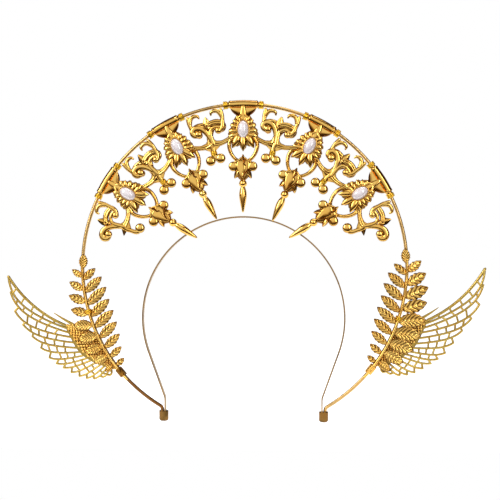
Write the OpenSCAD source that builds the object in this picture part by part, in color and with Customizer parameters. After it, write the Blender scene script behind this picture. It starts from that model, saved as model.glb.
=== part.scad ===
// Halo crown: five cast scroll panels with pearls and hanging spikes, bound to a round wire hoop.
// The hoop stands over a plain headband, and carries a leaf sprig and an openwork wing on each side.
// Origin at the centre of the headband's arch, Z up, X to the right seen from the front, front at -Y.

/* [Headband] */
// Radius of the headband's arch, to the middle of the strip
band_r = 65.9; // [63:0.1:69]
// Thickness of the headband strip
band_t = 0.95; // [0.7:0.05:1.2]
// Width of the headband strip, front to back
band_w = 4.5; // [3.5:0.1:4.8]
// Angle from the top where the arch runs out into a straight leg
arch_half = 110; // [106:0.5:113]
// Radius of the bend that turns a leg down into its ferrule
leg_bend_r = 6; // [4:0.5:9]

/* [Hoop wire] */
// Radius of the hoop, to the middle of the wire
hoop_r = 106; // [104:0.5:108]
// Height of the hoop's centre above the centre of the headband's arch
hoop_z = 33.4; // [32:0.1:35]
// Diameter of the hoop wire
wire_d = 2.3; // [2:0.1:2.4]
// Angle from the top where the hoop bends down into its ferrule
hoop_half = 149; // [148:0.5:150]
// Radius of the bend above a ferrule
wire_bend_r = 3; // [2.5:0.25:4]

/* [Ferrules] */
// Outside diameter of a ferrule
ferrule_d = 6.2; // [6:0.1:7]
// Length of a ferrule
ferrule_h = 7; // [6:0.5:9]
// Distance from the strip to the wire inside a ferrule, middle to middle
ferrule_pitch = 2; // [1.9:0.05:2.1]
// Chamfer round the bottom of a ferrule
ferrule_chamfer = 0.9; // [0.3:0.1:1.2]
// Clearance of the strip and the wire in their sockets
socket_gap = 0.05; // [0.02:0.01:0.08]

/* [Scroll panels] */
// Angle between neighbouring panels on the hoop
panel_pitch = 28.9; // [28.7:0.1:29.5]
// Distance of a pearl's middle from the hoop's centre
pearl_reach = 89.2; // [88.4:0.1:90]
// Front face of a panel, measured along Y
panel_front = -3.4; // [-3.8:0.1:-3.2]
// Back face of a panel, measured along Y
panel_back = -0.6; // [-0.8:0.1:-0.5]
// Gap between the lapped scrolls of two neighbouring panels
lap_gap = 0.1; // [0.08:0.02:0.3]
// Radius of the barrel that lies along the hoop wire
barrel_r = 2.75; // [2.6:0.05:2.9]
// Half length of the barrel, as an angle on the hoop
barrel_half = 4.7; // [4.4:0.1:4.8]
// Radius of the barrel's end sleeves, which the binding wire wraps
sleeve_r = 2; // [1.9:0.05:2.1]
// Half length of the barrel and its sleeves together, as an angle on the hoop
sleeve_half = 7.1; // [6.9:0.1:7.2]

/* [Pearls] */
// Width of a pearl
pearl_w = 7.2; // [6.6:0.1:7.4]
// Height of a pearl
pearl_h = 11.6; // [10.8:0.1:12]
// Width of the rim of the setting round a pearl
rim_w = 0.7; // [0.5:0.1:1]
// Height of the rim above the panel's face
rim_h = 0.8; // [0.5:0.1:1.2]

/* [Spikes] */
// Thickness of the fleur above a spike
fleur_t = 2.2; // [1.6:0.1:2.6]
// Radius of the collar ball
collar_r = 2.6; // [2.2:0.1:2.8]
// Largest radius of a spike
spike_r = 2.5; // [2:0.1:2.6]
// Distance of a spike's point below the pearl's middle
spike_drop = 54; // [51:0.5:55]

/* [Leaf sprigs] */
// Number of leaf pairs on a sprig
leaf_pairs = 9; // [6:1:9]
// Angle on the hoop of the topmost leaf pair
pair_start = 94.8; // [94.5:0.1:95]
// Angle on the hoop between the first two leaf pairs
pair_step = 4.65; // [4.5:0.05:4.7]
// Thickness of a leaf
leaf_t = 1; // [0.6:0.1:1.2]
// Half width of the stem at its foot
stem_half = 0.85; // [0.7:0.05:0.9]
// How far up the hoop the left sprig and wing are bound, as an angle
left_raise = 0; // [-1:0.1:2]
// How far up the hoop the right sprig and wing are bound, as an angle
right_raise = 2; // [-1:0.1:3]

/* [Wings] */
// Number of feathers in a wing
feathers = 15; // [12:1:15]
// Thickness of a wing
wing_t = 0.9; // [0.6:0.1:1.2]
// Width of the ribs along the feathers
rib_w = 1.45; // [1:0.05:1.5]
// Width of the cross ribs
cross_w = 1.3; // [0.9:0.05:1.4]

/* [Binding wire] */
// Diameter of the binding wire
bind_d = 0.5; // [0.4:0.05:0.5]
// Distance between neighbouring turns, middle to middle
bind_pitch = 1; // [0.95:0.05:1.1]
// Turns round the end of a barrel
barrel_turns = 2.5; // [1.5:0.5:2.5]
// Turns round two lapped scrolls
tie_turns = 2.5; // [1.5:0.5:2.5]
// Turns round a sprig's stem
stem_turns = 2.5; // [1.5:0.5:2.5]
// Turns round the foot of a sprig and the root of a wing
root_turns = 5.5; // [3.5:0.5:5.5]

/* [Hidden] */
$fn = 48;
panels = 5;
sides = ["left", "right"];
ends = ["left", "right"];

gold = "#d8a534";
satin_gold = "#b98f45";
bright_gold = "#f0c322";
pearl_white = "#efe7ea";

wire_r = wire_d / 2;
touch = 0.05;
draw_down = 0.03;
let_in = 0.2;
let_in_turn = 2;
ferrule_ease = 0.4;
ferrule_end = 1.5;

// Where the hoop leaves its circle, bends and goes down into the ferrule
hoop_end = [hoop_r * sin(hoop_half), hoop_z + hoop_r * cos(hoop_half)];
wire_bend = hoop_end + wire_bend_r * [sin(hoop_half), cos(hoop_half)];
wire_x = wire_bend[0] - wire_bend_r;

// Where a headband leg leaves the arch, bends and goes down beside the wire
band_x = wire_x - ferrule_pitch;
arch_end = band_r * [sin(arch_half), cos(arch_half)];
leg_bend_start_x = band_x + leg_bend_r * (1 - sin(arch_half));
leg_len = (arch_end[0] - leg_bend_start_x) / -cos(arch_half);
leg_end = arch_end + leg_len * [cos(arch_half), -sin(arch_half)];
leg_bend = leg_end + leg_bend_r * [sin(arch_half), cos(arch_half)];

ferrule_x = (wire_x + band_x) / 2 + touch;
ferrule_top = min(wire_bend[1], leg_bend[1]) - ferrule_ease;
ferrule_bottom = ferrule_top - ferrule_h;
socket_floor = ferrule_bottom + ferrule_end;

lap_middle = (panel_front + panel_back) / 2;
scroll_inset = 0.05;
rim_root = 0.5;

// Points on a smooth curve through a few given points; a third value in a point is a half width
function held(p, i) = p[max(0, min(len(p) - 1, i))];
function between(a, b, c, d, t) =
    (2 * b + (c - a) * t + (2 * a - 5 * b + 4 * c - d) * t * t + (3 * b - a - 3 * c + d) * t * t * t) / 2;
function curve_at(p, i, t) = between(held(p, i - 1), held(p, i), held(p, i + 1), held(p, i + 2), t);
function smooth(p, steps) =
    concat([for (i = [0:len(p) - 2], k = [0:steps - 1]) curve_at(p, i, k / steps)], [held(p, len(p) - 1)]);
function along(p, s) = let (x = s * (len(p) - 1), i = min(floor(x), len(p) - 2)) curve_at(p, i, x - i);
function flat(p) = [p[0], p[1]];
function flank(p, i) = let (d = flat(held(p, i + 1)) - flat(held(p, i - 1))) [-d[1], d[0]] / norm(d);
function ribbon(p) = concat(
    [for (i = [0:len(p) - 1]) flat(p[i]) + p[i][2] * flank(p, i)],
    [for (i = [len(p) - 1:-1:0]) flat(p[i]) - p[i][2] * flank(p, i)]
);
function even(p, half) = [for (q = p) [q[0], q[1], half]];
function polar(r, a) = [-r * sin(a), hoop_z + r * cos(a)];

// A band of varying half width along a smooth curve
module stroke(p, steps = 3) {
    polygon(ribbon(smooth(p, steps)));
}

// Joins overlapping flat shapes into one outline
module joined() {
    offset(delta = 0.02) children();
}

// Both a flat shape and its mirror image
module both() {
    children();
    mirror([1, 0]) children();
}

module dot(p, r) {
    translate(p) circle(r, $fn = 18);
}

// A flat shape drawn in X and Z, thick from the front face to the back face
module plate(front, back) {
    translate([0, back, 0]) rotate([90, 0, 0]) linear_extrude(back - front) children();
}

// A section swept round the Y axis, between two angles from the top
module swept(radius, from, to) {
    rotate([90, 0, 0]) rotate([0, 0, 90 - to]) rotate_extrude(angle = to - from, $fn = 180)
        translate([radius, 0]) children();
}

// Sections of the strip and the wire, drawn down a little at each step towards the ferrule
module band_section(step = 0) {
    square([band_t - step * draw_down, band_w - step * draw_down], center = true);
}

module wire_section(step = 0) {
    circle(wire_r - step * draw_down);
}

// One leg below the arch: straight, bent and straight again, each stretch let into the one before
module band_leg() {
    translate([arch_end[0], 0, arch_end[1]]) rotate([0, 90 + arch_half, 0])
        translate([0, 0, -let_in]) linear_extrude(leg_len + let_in) band_section(1);
    translate([leg_bend[0], 0, leg_bend[1]])
        swept(leg_bend_r, 270, 180 + arch_half + let_in_turn) band_section(2);
    translate([band_x, 0, socket_floor])
        linear_extrude(leg_bend[1] - socket_floor + let_in) band_section(3);
}

// One end of the hoop: bent and then straight
module wire_end() {
    translate([wire_bend[0], 0, wire_bend[1]])
        swept(wire_bend_r, 270, 180 + hoop_half + let_in_turn) wire_section(1);
    translate([wire_x, 0, socket_floor])
        linear_extrude(wire_bend[1] - socket_floor + let_in) wire_section(2);
}

module headband() {
    color(satin_gold) {
        swept(band_r, -arch_half, arch_half) band_section();
        band_leg();
        mirror([1, 0, 0]) band_leg();
    }
}

module hoop_wire() {
    color(satin_gold) {
        translate([0, 0, hoop_z]) swept(hoop_r, -hoop_half, hoop_half) wire_section();
        wire_end();
        mirror([1, 0, 0]) wire_end();
    }
}

// A closed crimp tube with a socket for the wire and a slot for the strip
module ferrule() {
    r = ferrule_d / 2;
    color(satin_gold) difference() {
        translate([ferrule_x, 0, ferrule_bottom]) rotate_extrude() polygon([
            [0, 0],
            [r - ferrule_chamfer, 0],
            [r, ferrule_chamfer],
            [r, ferrule_h],
            [0, ferrule_h]
        ]);
        translate([wire_x, 0, socket_floor - socket_gap]) cylinder(h = ferrule_h, r = wire_r + socket_gap);
        translate([band_x, 0, socket_floor - socket_gap]) linear_extrude(ferrule_h)
            square([band_t + 2 * socket_gap, band_w + 2 * socket_gap], center = true);
    }
}

// Half of a panel's scrollwork, on its left, with the pearl's middle at the origin
hook = [
    [-21.2, 9.6, 0.6], [-21, 11.2, 1.05], [-19.2, 12.2, 1.3], [-17, 12.1, 1.4],
    [-15.2, 10.6, 1.5], [-14.3, 8, 1.5], [-14, 5, 1.6], [-13.9, 2.4, 1.6]
];
stem_edge = [
    [-14.7, 13, 1.2], [-13.9, 9.5, 1.4], [-13.6, 6, 1.4],
    [-13.4, 3.2, 1.6], [-14, 0.9, 1.6], [-15.6, -0.6, 1.7]
];
volute = [
    [-19.4, -9.2, 1.8], [-20.5, -6.2, 1.6], [-21.4, -3, 1.4], [-21.3, -0.6, 1.2],
    [-19.8, 1.2, 1.2], [-17.4, 1.9, 1.3], [-15, 1.6, 1.5]
];
arch_leaf = [[-14.4, 5, 1.6], [-17.4, 5.2, 1.9], [-20.6, 4.5, 1.8], [-23.4, 2.8, 1.8]];
spear = [[-23.4, 1.6, 2.2], [-24, 4.4, 2.3], [-24.6, 6.9, 1.2], [-24.9, 8.2, 0.3]];
bud_arm = [
    [-20.2, -7.8, 1.6], [-22.2, -4.6, 1.6], [-24.4, -1.7, 1.8], [-27, 0.3, 2], [-29.8, 0.9, 2.1],
    [-32.2, 0, 2], [-33.1, -2, 1.9], [-32, -3.9, 1.7], [-30, -4.2, 1.5]
];
side_tip = [[-19.6, -9.8, 2.4], [-21.6, -10.8, 1.6], [-24.5, -12.2, 0.2]];
panel_arm = [
    [-18.6, -9.4, 2], [-15.2, -8.9, 1.7], [-12.2, -7.7, 1.55], [-9.4, -6.1, 1.5], [-6.6, -4.6, 1.5]
];
foot = [
    [-19.8, -9.6, 2], [-19.8, -12, 1.6], [-19.3, -14, 1.4], [-18.9, -15.8, 1.4], [-18.4, -17.4, 1.5],
    [-17.4, -18.9, 1.6], [-15.8, -20, 1.6], [-13.9, -19.7, 1.6], [-13, -17.9, 1.5], [-13.9, -16.4, 1.2]
];
gusset = [
    [-10, -5.6], [-11, -8], [-13.6, -9.5], [-15.2, -10.8], [-16.5, -12.3], [-17.8, -13.8],
    [-20, -11], [-21.6, -4.5], [-20, -3], [-19.3, -6], [-17.2, -7.1], [-13.5, -6.9]
];
volute_ball = [-16, -0.6];
bud_ball = [-29, -3.2];
foot_ball = [-14.9, -18.4];
ball_r = 2.1;
foot_ball_r = 2;

module scroll_outline() {
    joined() {
        stroke(hook);
        stroke(stem_edge);
        stroke(volute);
        stroke(arch_leaf);
        stroke(spear);
        stroke(bud_arm);
        stroke(side_tip);
        stroke(panel_arm);
        stroke(foot);
        polygon(gusset);
        dot(volute_ball, ball_r);
        dot(bud_ball, ball_r);
        dot(foot_ball, foot_ball_r);
    }
}

// The middle of a panel: saddle, toothed leaves round the pearl, leaf crown and heart-shaped loop
saddle = [[0, 8], [-2.4, 8.4], [-4.4, 9.4], [-6.6, 11], [-8.1, 12.9], [-8.6, 15], [0, 15]];
neck_leaf = [[0, 15, 1.2], [0, 11.2, 1.9], [0, 7, 1.6]];
toothed_leaf = [
    [0, 9.2], [4.6, 9], [6, 7], [5.8, 5.4], [8.2, 4], [8, 1.4], [9.4, 0], [9.2, -1.2],
    [10, -2.6], [9.2, -4.6], [7.8, -5.8], [0, -6]
];
leaf_crown = [
    [8.2, -4.8], [7.4, -8.4], [6, -10.4], [4, -11], [2.2, -10.2], [1.8, -11.8], [0, -13.6],
    [-1.8, -11.8], [-2.2, -10.2], [-4, -11], [-6, -10.4], [-7.4, -8.4], [-8.2, -4.8]
];
heart_loop = [
    [-6.8, -5, 1.4], [-8.9, -8.4, 1.4], [-9, -12, 1.3], [-7.5, -16, 1.2],
    [-5, -19.1, 1.15], [-2.3, -20.4, 1.1], [0.3, -20.4, 1.1]
];

module panel_outline() {
    joined() {
        both() polygon(saddle);
        both() stroke(heart_loop);
        both() polygon(toothed_leaf);
        stroke(neck_leaf);
        polygon(leaf_crown);
    }
}

module oval(w, h) {
    polygon([for (a = [0:15:345]) [w / 2 * cos(a), h / 2 * sin(a)]]);
}

// Frame of one panel: its pearl's middle at the origin, the hoop's centre straight below
function panel_angle(i) = (i - (panels + 1) / 2) * panel_pitch;

module on_hoop(angle, reach) {
    translate([0, 0, hoop_z]) rotate([0, angle, 0]) translate([0, 0, reach]) children();
}

// Barrel along the wire, open at the back so that it drops onto the hoop from the front
barrel_open_y = 0.2;
barrel_cut = 40;

module barrel() {
    step_half = (barrel_half * 2 + sleeve_half) / 3;
    difference() {
        translate([0, 0, -pearl_reach]) difference() {
            union() {
                swept(hoop_r, -barrel_half, barrel_half) circle(barrel_r);
                swept(hoop_r, -step_half, step_half) circle((barrel_r + sleeve_r) / 2);
                swept(hoop_r, -sleeve_half, sleeve_half) circle(sleeve_r);
            }
            swept(hoop_r, -2 * sleeve_half, 2 * sleeve_half) circle(wire_r + touch);
        }
        translate([-barrel_cut / 2, barrel_open_y, 0]) cube(barrel_cut);
    }
}

module scroll_panel(i) {
    color(gold) on_hoop(panel_angle(i), pearl_reach) {
        difference() {
            plate(panel_front, panel_back) panel_outline();
            translate([0, 0, -pearl_reach])
                swept(hoop_r, -2 * sleeve_half, 2 * sleeve_half) circle(wire_r + touch);
        }
        plate(panel_front + scroll_inset, lap_middle - lap_gap / 2) scroll_outline();
        plate(lap_middle + lap_gap / 2, panel_back - scroll_inset) mirror([1, 0]) scroll_outline();
        plate(panel_front - rim_h, panel_front + rim_root) difference() {
            oval(pearl_w + 2 * (rim_w + touch), pearl_h + 2 * (rim_w + touch));
            oval(pearl_w + 2 * touch, pearl_h + 2 * touch);
        }
        barrel();
    }
}

// Half an egg, flat at the back, long side up
module pearl(i) {
    color(pearl_white) on_hoop(panel_angle(i), pearl_reach) translate([0, panel_front, 0])
        rotate([0, 0, 180]) rotate_extrude(angle = 180)
            polygon([for (a = [-90:15:90]) [pearl_w / 2 * cos(a), pearl_h / 2 * sin(a)]]);
}

// Fleur soldered over the foot of the heart loop, with a collar ball and a spike below it
fleur_side = [
    [0, -16.4], [-1.1, -18.2], [-3.2, -20.6], [-5.8, -21], [-5.4, -26.4], [-5, -28.4],
    [-5.5, -31.8], [-3.6, -31], [-2, -32.6], [0, -33.4]
];
fleur_lobe = [-6.3, -24];
fleur_lobe_r = 2.95;
collar_v = -35.4;
spike_top = -37.4;
spike_widest = -42.3;
spike_neck_r = 1.4;
spike_end_r = 0.6;
solder_v = -20;

// Lean of each spike about its solder joint, as it was set by hand
drop_lean = [0, 0, 0, -4, 0];

module leaning(angle) {
    translate([0, 0, solder_v]) rotate([0, angle, 0]) translate([0, 0, -solder_v]) children();
}

module fleur_outline() {
    joined() both() {
        polygon(fleur_side);
        dot(fleur_lobe, fleur_lobe_r);
    }
}

// Half outline of the collar ball and the spike, from the fleur down to the point
function spike_profile() = concat(
    [[0, -32.4], [spike_neck_r, -32.4]],
    [for (a = [50:-20:-50]) [collar_r * cos(a), collar_v + collar_r * sin(a)]],
    [
        [spike_neck_r, spike_top],
        [spike_r * 0.85, spike_top - 2],
        [spike_r, spike_widest],
        [spike_r * 0.8, spike_widest - 4],
        [spike_end_r, 0.6 - spike_drop],
        [0, -spike_drop]
    ]
);

module drop_spike(i) {
    color(gold) on_hoop(panel_angle(i), pearl_reach) leaning(drop_lean[i - 1]) {
        plate(panel_front - fleur_t, panel_front) fleur_outline();
        translate([0, panel_front - fleur_t / 2, 0]) rotate_extrude() polygon(spike_profile());
    }
}

// A binding wire: one tube wound round an oval, with a short straight tail at each end
ring_sides = 6;
turn_rings = 12;

function wound(a, b, turns, t) = [a * cos(360 * t), b * sin(360 * t), bind_pitch * (t - turns / 2)];
function wound_path(a, b, turns) = let (
    n = round(turns * turn_rings),
    core = [for (i = [0:n]) wound(a, b, turns, i / turn_rings)],
    lead = core[0] - core[1],
    tail = core[n] - core[n - 1]
) concat(
    [core[0] + bind_d * lead / norm(lead)],
    core,
    [core[n] + bind_d * tail / norm(tail)]
);
function unit(v) = v / norm(v);
function ring_at(p, i) = let (
    t = unit(held(p, i + 1) - held(p, i - 1)),
    n = unit(cross([0, 0, 1], t)),
    b = cross(t, n)
) [for (k = [0:ring_sides - 1])
    p[i] + bind_d / 2 * (cos(360 * k / ring_sides) * n + sin(360 * k / ring_sides) * b)];

// The least gap between turns: points at least three quarters of a turn apart along the wire
function least_gap(p) =
    min([for (i = [0:len(p) - 1], j = [i + turn_rings * 3 / 4:len(p) - 1]) norm(p[i] - p[j])]) - bind_d;

module tube(p) {
    n = len(p);
    points = [for (i = [0:n - 1]) each ring_at(p, i)];
    wall = [for (i = [0:n - 2], k = [0:ring_sides - 1]) let (
        a = i * ring_sides + k,
        b = i * ring_sides + (k + 1) % ring_sides
    ) each [[a, b, b + ring_sides], [a, b + ring_sides, a + ring_sides]]];
    last = (n - 1) * ring_sides;
    caps = [for (k = [1:ring_sides - 2]) each [[0, k + 1, k], [last, last + k, last + k + 1]]];
    polyhedron(points = points, faces = concat(wall, caps));
}

// An oval that clears what it wraps also at the middle of its straight stretches
function clear_of(half) = (half + touch + bind_d / 2) / cos(180 / turn_rings);

module wrap(a, b, turns) {
    color(bright_gold) tube(wound_path(a, b, turns));
}

// Binding frames: the wire's direction along local Z, the hoop's radius along local X
module along_hoop(angle) {
    on_hoop(angle, hoop_r) rotate([0, 90, 0]) children();
}

barrel_wrap_angle = (barrel_half + sleeve_half * 2) / 3 + 0.05;
barrel_wrap_half = clear_of(sleeve_r);

module barrel_wrap(i, e) {
    side = e == "left" ? -1 : 1;
    along_hoop(panel_angle(i) + side * barrel_wrap_angle)
        wrap(barrel_wrap_half, barrel_wrap_half, barrel_turns);
}

tie_below_pearl = 13.2;
tie_half_u = 2.25;
tie_half_y = 2.5;

module link_tie(i) {
    on_hoop(panel_angle(i + 0.5), pearl_reach - tie_below_pearl) translate([0, lap_middle, 0])
        wrap(tie_half_u, tie_half_y, tie_turns);
}

// Leaf sprig, drawn on the left: leaves in pairs on a stem that lies on the front of the wire
stem_front = -2.9;
stem_back = -wire_r - touch;
leaf_back = -1.3;
stem_top = 90;
stem_foot = 134.3;
pair_gain = -0.065;
outer_lead = 1;
inner_len = [10.5, 14.4, 16.2, 16, 16, 15, 13, 9.8, 7];
outer_len = [9.4, 12, 13.6, 13.8, 14.4, 14.2, 13.6, 11.8, 8.6];
inner_aim = 43;
outer_aim = 143;
outer_turn = 7.5;
broad_from = 4;
broad_aim = 179;
broad_turn = 10.5;
top_leaf_len = 10;
top_leaf_w = 5.8;
stem_wrap_angles = [106.2, 110.4];
stem_ease = 0.65;
wrap_half_x = clear_of(wire_r + stem_ease);
notch_half = 0.65;

inner_base_w = 1.9;
inner_share = 0.27;
outer_share = 0.5;
broad_share = 0.56;

// Sizes of the inner and the outer leaves against the mean, on the left and on the right sprig
leaf_grow = [[1.1, 0.92], [1.06, 1.25]];

function inner_width(i) = inner_base_w + inner_share * inner_len[i];
function outer_width(i) = (i < broad_from ? outer_share : broad_share) * outer_len[i];
function outer_turned(i) =
    i < broad_from ? outer_aim + outer_turn * i : broad_aim + broad_turn * (i - broad_from);
function leaf_half(t, w) = max(0.45, w / 2 * pow(sin(180 * pow(t, 0.95)), 0.75));
function leaf_spine(base, aim, len, w) =
    [for (t = [0:0.1:1]) concat(base + t * len * [cos(aim), sin(aim)], [t > 0.95 ? 0.1 : leaf_half(t, w)])];

module leaf(base, aim, len, w) {
    polygon(ribbon(leaf_spine(base, aim, len, w)));
}

module leaves(grow) {
    leaf(polar(hoop_r - 0.6, stem_top + 0.8), 88, top_leaf_len, top_leaf_w);
    for (i = [0:leaf_pairs - 1]) {
        turn = pair_start + i * (pair_step + i * pair_gain);
        inner = polar(hoop_r, turn);
        outer = polar(hoop_r, turn - outer_lead);
        leaf(inner, inner_aim, grow[0] * inner_len[i], grow[0] * inner_width(i));
        leaf(outer, outer_turned(i), grow[1] * outer_len[i], grow[1] * outer_width(i));
    }
}

// Notches in the leaf bases where the stem wrap passes through
module wrap_notches(angle) {
    reach = asin((stem_turns * bind_pitch / 2 + 2 * bind_d) / hoop_r);
    turns = [for (k = [-1:0.5:1]) angle + k * reach];
    for (side = [-1, 1]) {
        polygon(ribbon([for (a = turns) concat(polar(hoop_r + side * wrap_half_x, a), [notch_half])]));
    }
}

module stem_outline() {
    stem = [for (t = [0:1 / 16:1])
        concat(polar(hoop_r, stem_top + t * (stem_foot - stem_top)), [stem_half * (0.7 + 0.3 * t)])];
    polygon(ribbon(stem));
}

function side_index(s) = s == "left" ? 0 : 1;

module leaf_sprig(s) {
    color(gold) {
        plate(leaf_back - leaf_t, leaf_back) difference() {
            joined() leaves(leaf_grow[side_index(s)]);
            wrap_notches(stem_wrap_angles[side_index(s)]);
        }
        plate(stem_front, stem_back) joined() stem_outline();
    }
}

// Wing, drawn on the left: ribs along the feathers, cross ribs, a plain crescent and a solid covert
wing_back = wire_r + touch + wing_t;
tip_line = [
    [-156, 26.6], [-151.6, 3.8], [-139.9, -12.8], [-128.5, -26.8],
    [-119.1, -33.3], [-108.5, -38.8], [-98.8, -40.4], [-88.2, -38]
];
root_line = [[-117.7, -5.4], [-114.4, -12], [-107.9, -21.8], [-99.4, -28], [-87.7, -32.9]];
lead_sag = 3.9;
edge_sag = 5.2;
sag_fall = 4.5;
least_sag = 0.6;
tip_hump = 2.4;
hump_fall = 4;
least_hump = 0.5;
hump_scale = 256 / 27;
root_crowd = 1.5;
tooth = 0.2;
tooth_growth = 0.14;
vane_cells = 1.1;
cross_slant = 0.12;
lead_rib = 1.3;
crescent_half = [0.5, 0.7, 1.3, 1.4, 0.8];
alula = [[-125.5, 2.8, 0.25], [-119.5, -1, 0.7], [-113, -4.6, 1]];
covert_end = [-108.5, -5];
covert_turns = [130.2, 126.5, 122.7, 119, 115.5];
tongue_start = 125;

function root_at(s) = along(root_line, 1 - pow(1 - s, root_crowd));
function tip_at(s) = along(tip_line, s);

// Edge 0 is the wing's leading edge, and edge k + 1 the lower edge of feather k, out to the feather's point
function tip_share(k) = max(0, k - 1) / (feathers - 1);
function sag(k) = k == 0 ? lead_sag : least_sag + edge_sag * pow(1 - tip_share(k), sag_fall);
function hump(k) = k == 0 ? 0 : hump_scale * (least_hump + tip_hump * pow(1 - tip_share(k), hump_fall));
function feather_edge(k, t) = let (
    a = root_at(k / feathers),
    c = tip_at(tip_share(k)),
    d = (c - a) / norm(c - a),
    n = [-d[1], d[0]],
    b = (a + c) / 2 + 2 * sag(k) * n
) (1 - t) * (1 - t) * a + 2 * t * (1 - t) * b + t * t * c + hump(k) * t * t * t * (1 - t) * n;

// How far along its upper edge a feather runs before it turns down to its point
function notch(k) = k == 0 ? 1 : 1 - tooth - tooth_growth * tip_share(k);

// Cells along a feather, the last of them a longer open vane
function cells(k) = k < 2 ? 6 : k < 4 ? 5 : k < 7 ? 4 : k < 11 ? 3 : 2;
function cross_at(k, j) = notch(k) * (j + (k % 2) / 2) / (cells(k) - 1 + vane_cells);

module wing_rib(from, to, width) {
    polygon(ribbon(even([from, to], width / 2)));
}

module cross_rib(k, t) {
    wing_rib(feather_edge(k, t), feather_edge(k + 1, t + (k == 0 ? 0 : cross_slant)), cross_w);
}

module wing_outline() {
    for (k = [0:feathers]) {
        edge = [for (t = [0:0.125:1]) feather_edge(k, t)];
        polygon(ribbon(even(edge, rib_w / 2 * (k == 0 ? lead_rib : 1))));
    }
    for (k = [1:feathers - 1]) {
        wing_rib(feather_edge(k, notch(k)), feather_edge(k + 1, 1), rib_w);
    }
    for (k = [0:feathers - 1], j = [1:cells(k) - 1]) {
        cross_rib(k, cross_at(k, j));
    }
    crescent = [for (i = [0:len(root_line) - 1]) concat(root_line[i], [crescent_half[i]])];
    stroke(crescent, 4);
    stroke(alula);
    inner_line = [for (a = covert_turns) polar(hoop_r - stem_half, a)];
    polygon(concat(smooth(root_line, 3), inner_line, [covert_end]));
    tongue = [for (a = [tongue_start:1:stem_foot]) concat(polar(hoop_r, a), [stem_half])];
    polygon(ribbon(tongue));
}

module wing() {
    color(gold) plate(wing_back - wing_t, wing_back) joined() wing_outline();
}

// Wraps that hold a sprig and a wing to the wire
root_wrap_angle = 130.7;
wrap_ease = 0.4;
stem_wrap_y = [stem_front, wire_r];
root_wrap_y = [stem_front, wing_back];

function wrap_half_y(y_range) = clear_of((y_range[1] - y_range[0]) / 2) + wrap_ease;

module hoop_wrap(angle, y_range, turns) {
    middle = (y_range[0] + y_range[1]) / 2;
    along_hoop(-angle) translate([0, middle, 0]) wrap(wrap_half_x, wrap_half_y(y_range), turns);
}

module stem_wrap(s) {
    hoop_wrap(stem_wrap_angles[side_index(s)], stem_wrap_y, stem_turns);
}

module root_wrap() {
    hoop_wrap(root_wrap_angle, root_wrap_y, root_turns);
}

// What is drawn on the left is mirrored for the right, and the other way round
module on_side(s, drawn) {
    if (s == drawn) {
        children();
    } else {
        mirror([1, 0, 0]) children();
    }
}

// What is bound to the hoop's left or right, turned about the hoop's centre to its height
module bound(s) {
    on_side(s, "left") translate([0, 0, hoop_z]) rotate([0, s == "left" ? left_raise : right_raise, 0])
        translate([0, 0, -hoop_z]) children();
}

echo(barrel_wrap_gap = least_gap(wound_path(barrel_wrap_half, barrel_wrap_half, barrel_turns)));
echo(link_tie_gap = least_gap(wound_path(tie_half_u, tie_half_y, tie_turns)));
echo(stem_wrap_gap = least_gap(wound_path(wrap_half_x, wrap_half_y(stem_wrap_y), stem_turns)));
echo(root_wrap_gap = least_gap(wound_path(wrap_half_x, wrap_half_y(root_wrap_y), root_turns)));

headband();
hoop_wire();
for (s = sides) {
    on_side(s, "right") ferrule();
    bound(s) leaf_sprig(s);
    bound(s) wing();
    bound(s) stem_wrap(s);
    bound(s) root_wrap();
}
for (i = [1:panels]) {
    scroll_panel(i);
    pearl(i);
    drop_spike(i);
    for (e = ends) {
        barrel_wrap(i, e);
    }
}
for (i = [1:panels - 1]) {
    link_tie(i);
}
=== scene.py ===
import math

import bmesh
import bpy
import numpy as np
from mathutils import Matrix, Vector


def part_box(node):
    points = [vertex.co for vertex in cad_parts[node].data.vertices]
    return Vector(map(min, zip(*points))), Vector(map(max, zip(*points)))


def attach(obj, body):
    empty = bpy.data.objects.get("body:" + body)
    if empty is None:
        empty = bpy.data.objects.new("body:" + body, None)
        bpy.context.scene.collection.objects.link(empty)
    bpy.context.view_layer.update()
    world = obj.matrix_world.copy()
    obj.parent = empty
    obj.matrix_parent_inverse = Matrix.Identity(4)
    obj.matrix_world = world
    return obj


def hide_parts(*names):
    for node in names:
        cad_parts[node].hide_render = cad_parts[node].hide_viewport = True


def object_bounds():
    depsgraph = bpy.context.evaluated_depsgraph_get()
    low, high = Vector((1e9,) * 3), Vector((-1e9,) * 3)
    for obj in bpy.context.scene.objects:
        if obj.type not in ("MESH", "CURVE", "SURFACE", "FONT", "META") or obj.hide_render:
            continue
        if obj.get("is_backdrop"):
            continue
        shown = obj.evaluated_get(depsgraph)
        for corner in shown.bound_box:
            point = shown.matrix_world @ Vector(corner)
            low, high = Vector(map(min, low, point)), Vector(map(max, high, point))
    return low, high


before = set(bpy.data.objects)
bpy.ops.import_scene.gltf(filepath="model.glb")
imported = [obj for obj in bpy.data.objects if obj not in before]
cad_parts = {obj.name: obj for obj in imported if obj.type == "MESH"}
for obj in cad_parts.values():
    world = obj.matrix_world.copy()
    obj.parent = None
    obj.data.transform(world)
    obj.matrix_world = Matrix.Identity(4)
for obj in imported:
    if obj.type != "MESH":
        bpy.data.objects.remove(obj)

cad_low, cad_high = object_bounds()

# The part's own values, in millimetres, in the CAD frame
HOOP_R, HOOP_Z = 106.0, 33.4
PITCH, REACH = 28.9, 89.2
PANELS = range(1, 6)
PANEL_FRONT, PANEL_BACK = -3.4, -0.6
# Lift of the plain backs, which are gilt and take part of the painted shade, so they are darker than the crowns
BEHIND = 0.6
# Depth between the backs of forms that follow each other, and how many backs there are before it starts again
HAIR, LAYERS = 0.004, 40


def panel_angle(i):
    return (i - 3) * PITCH


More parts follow.
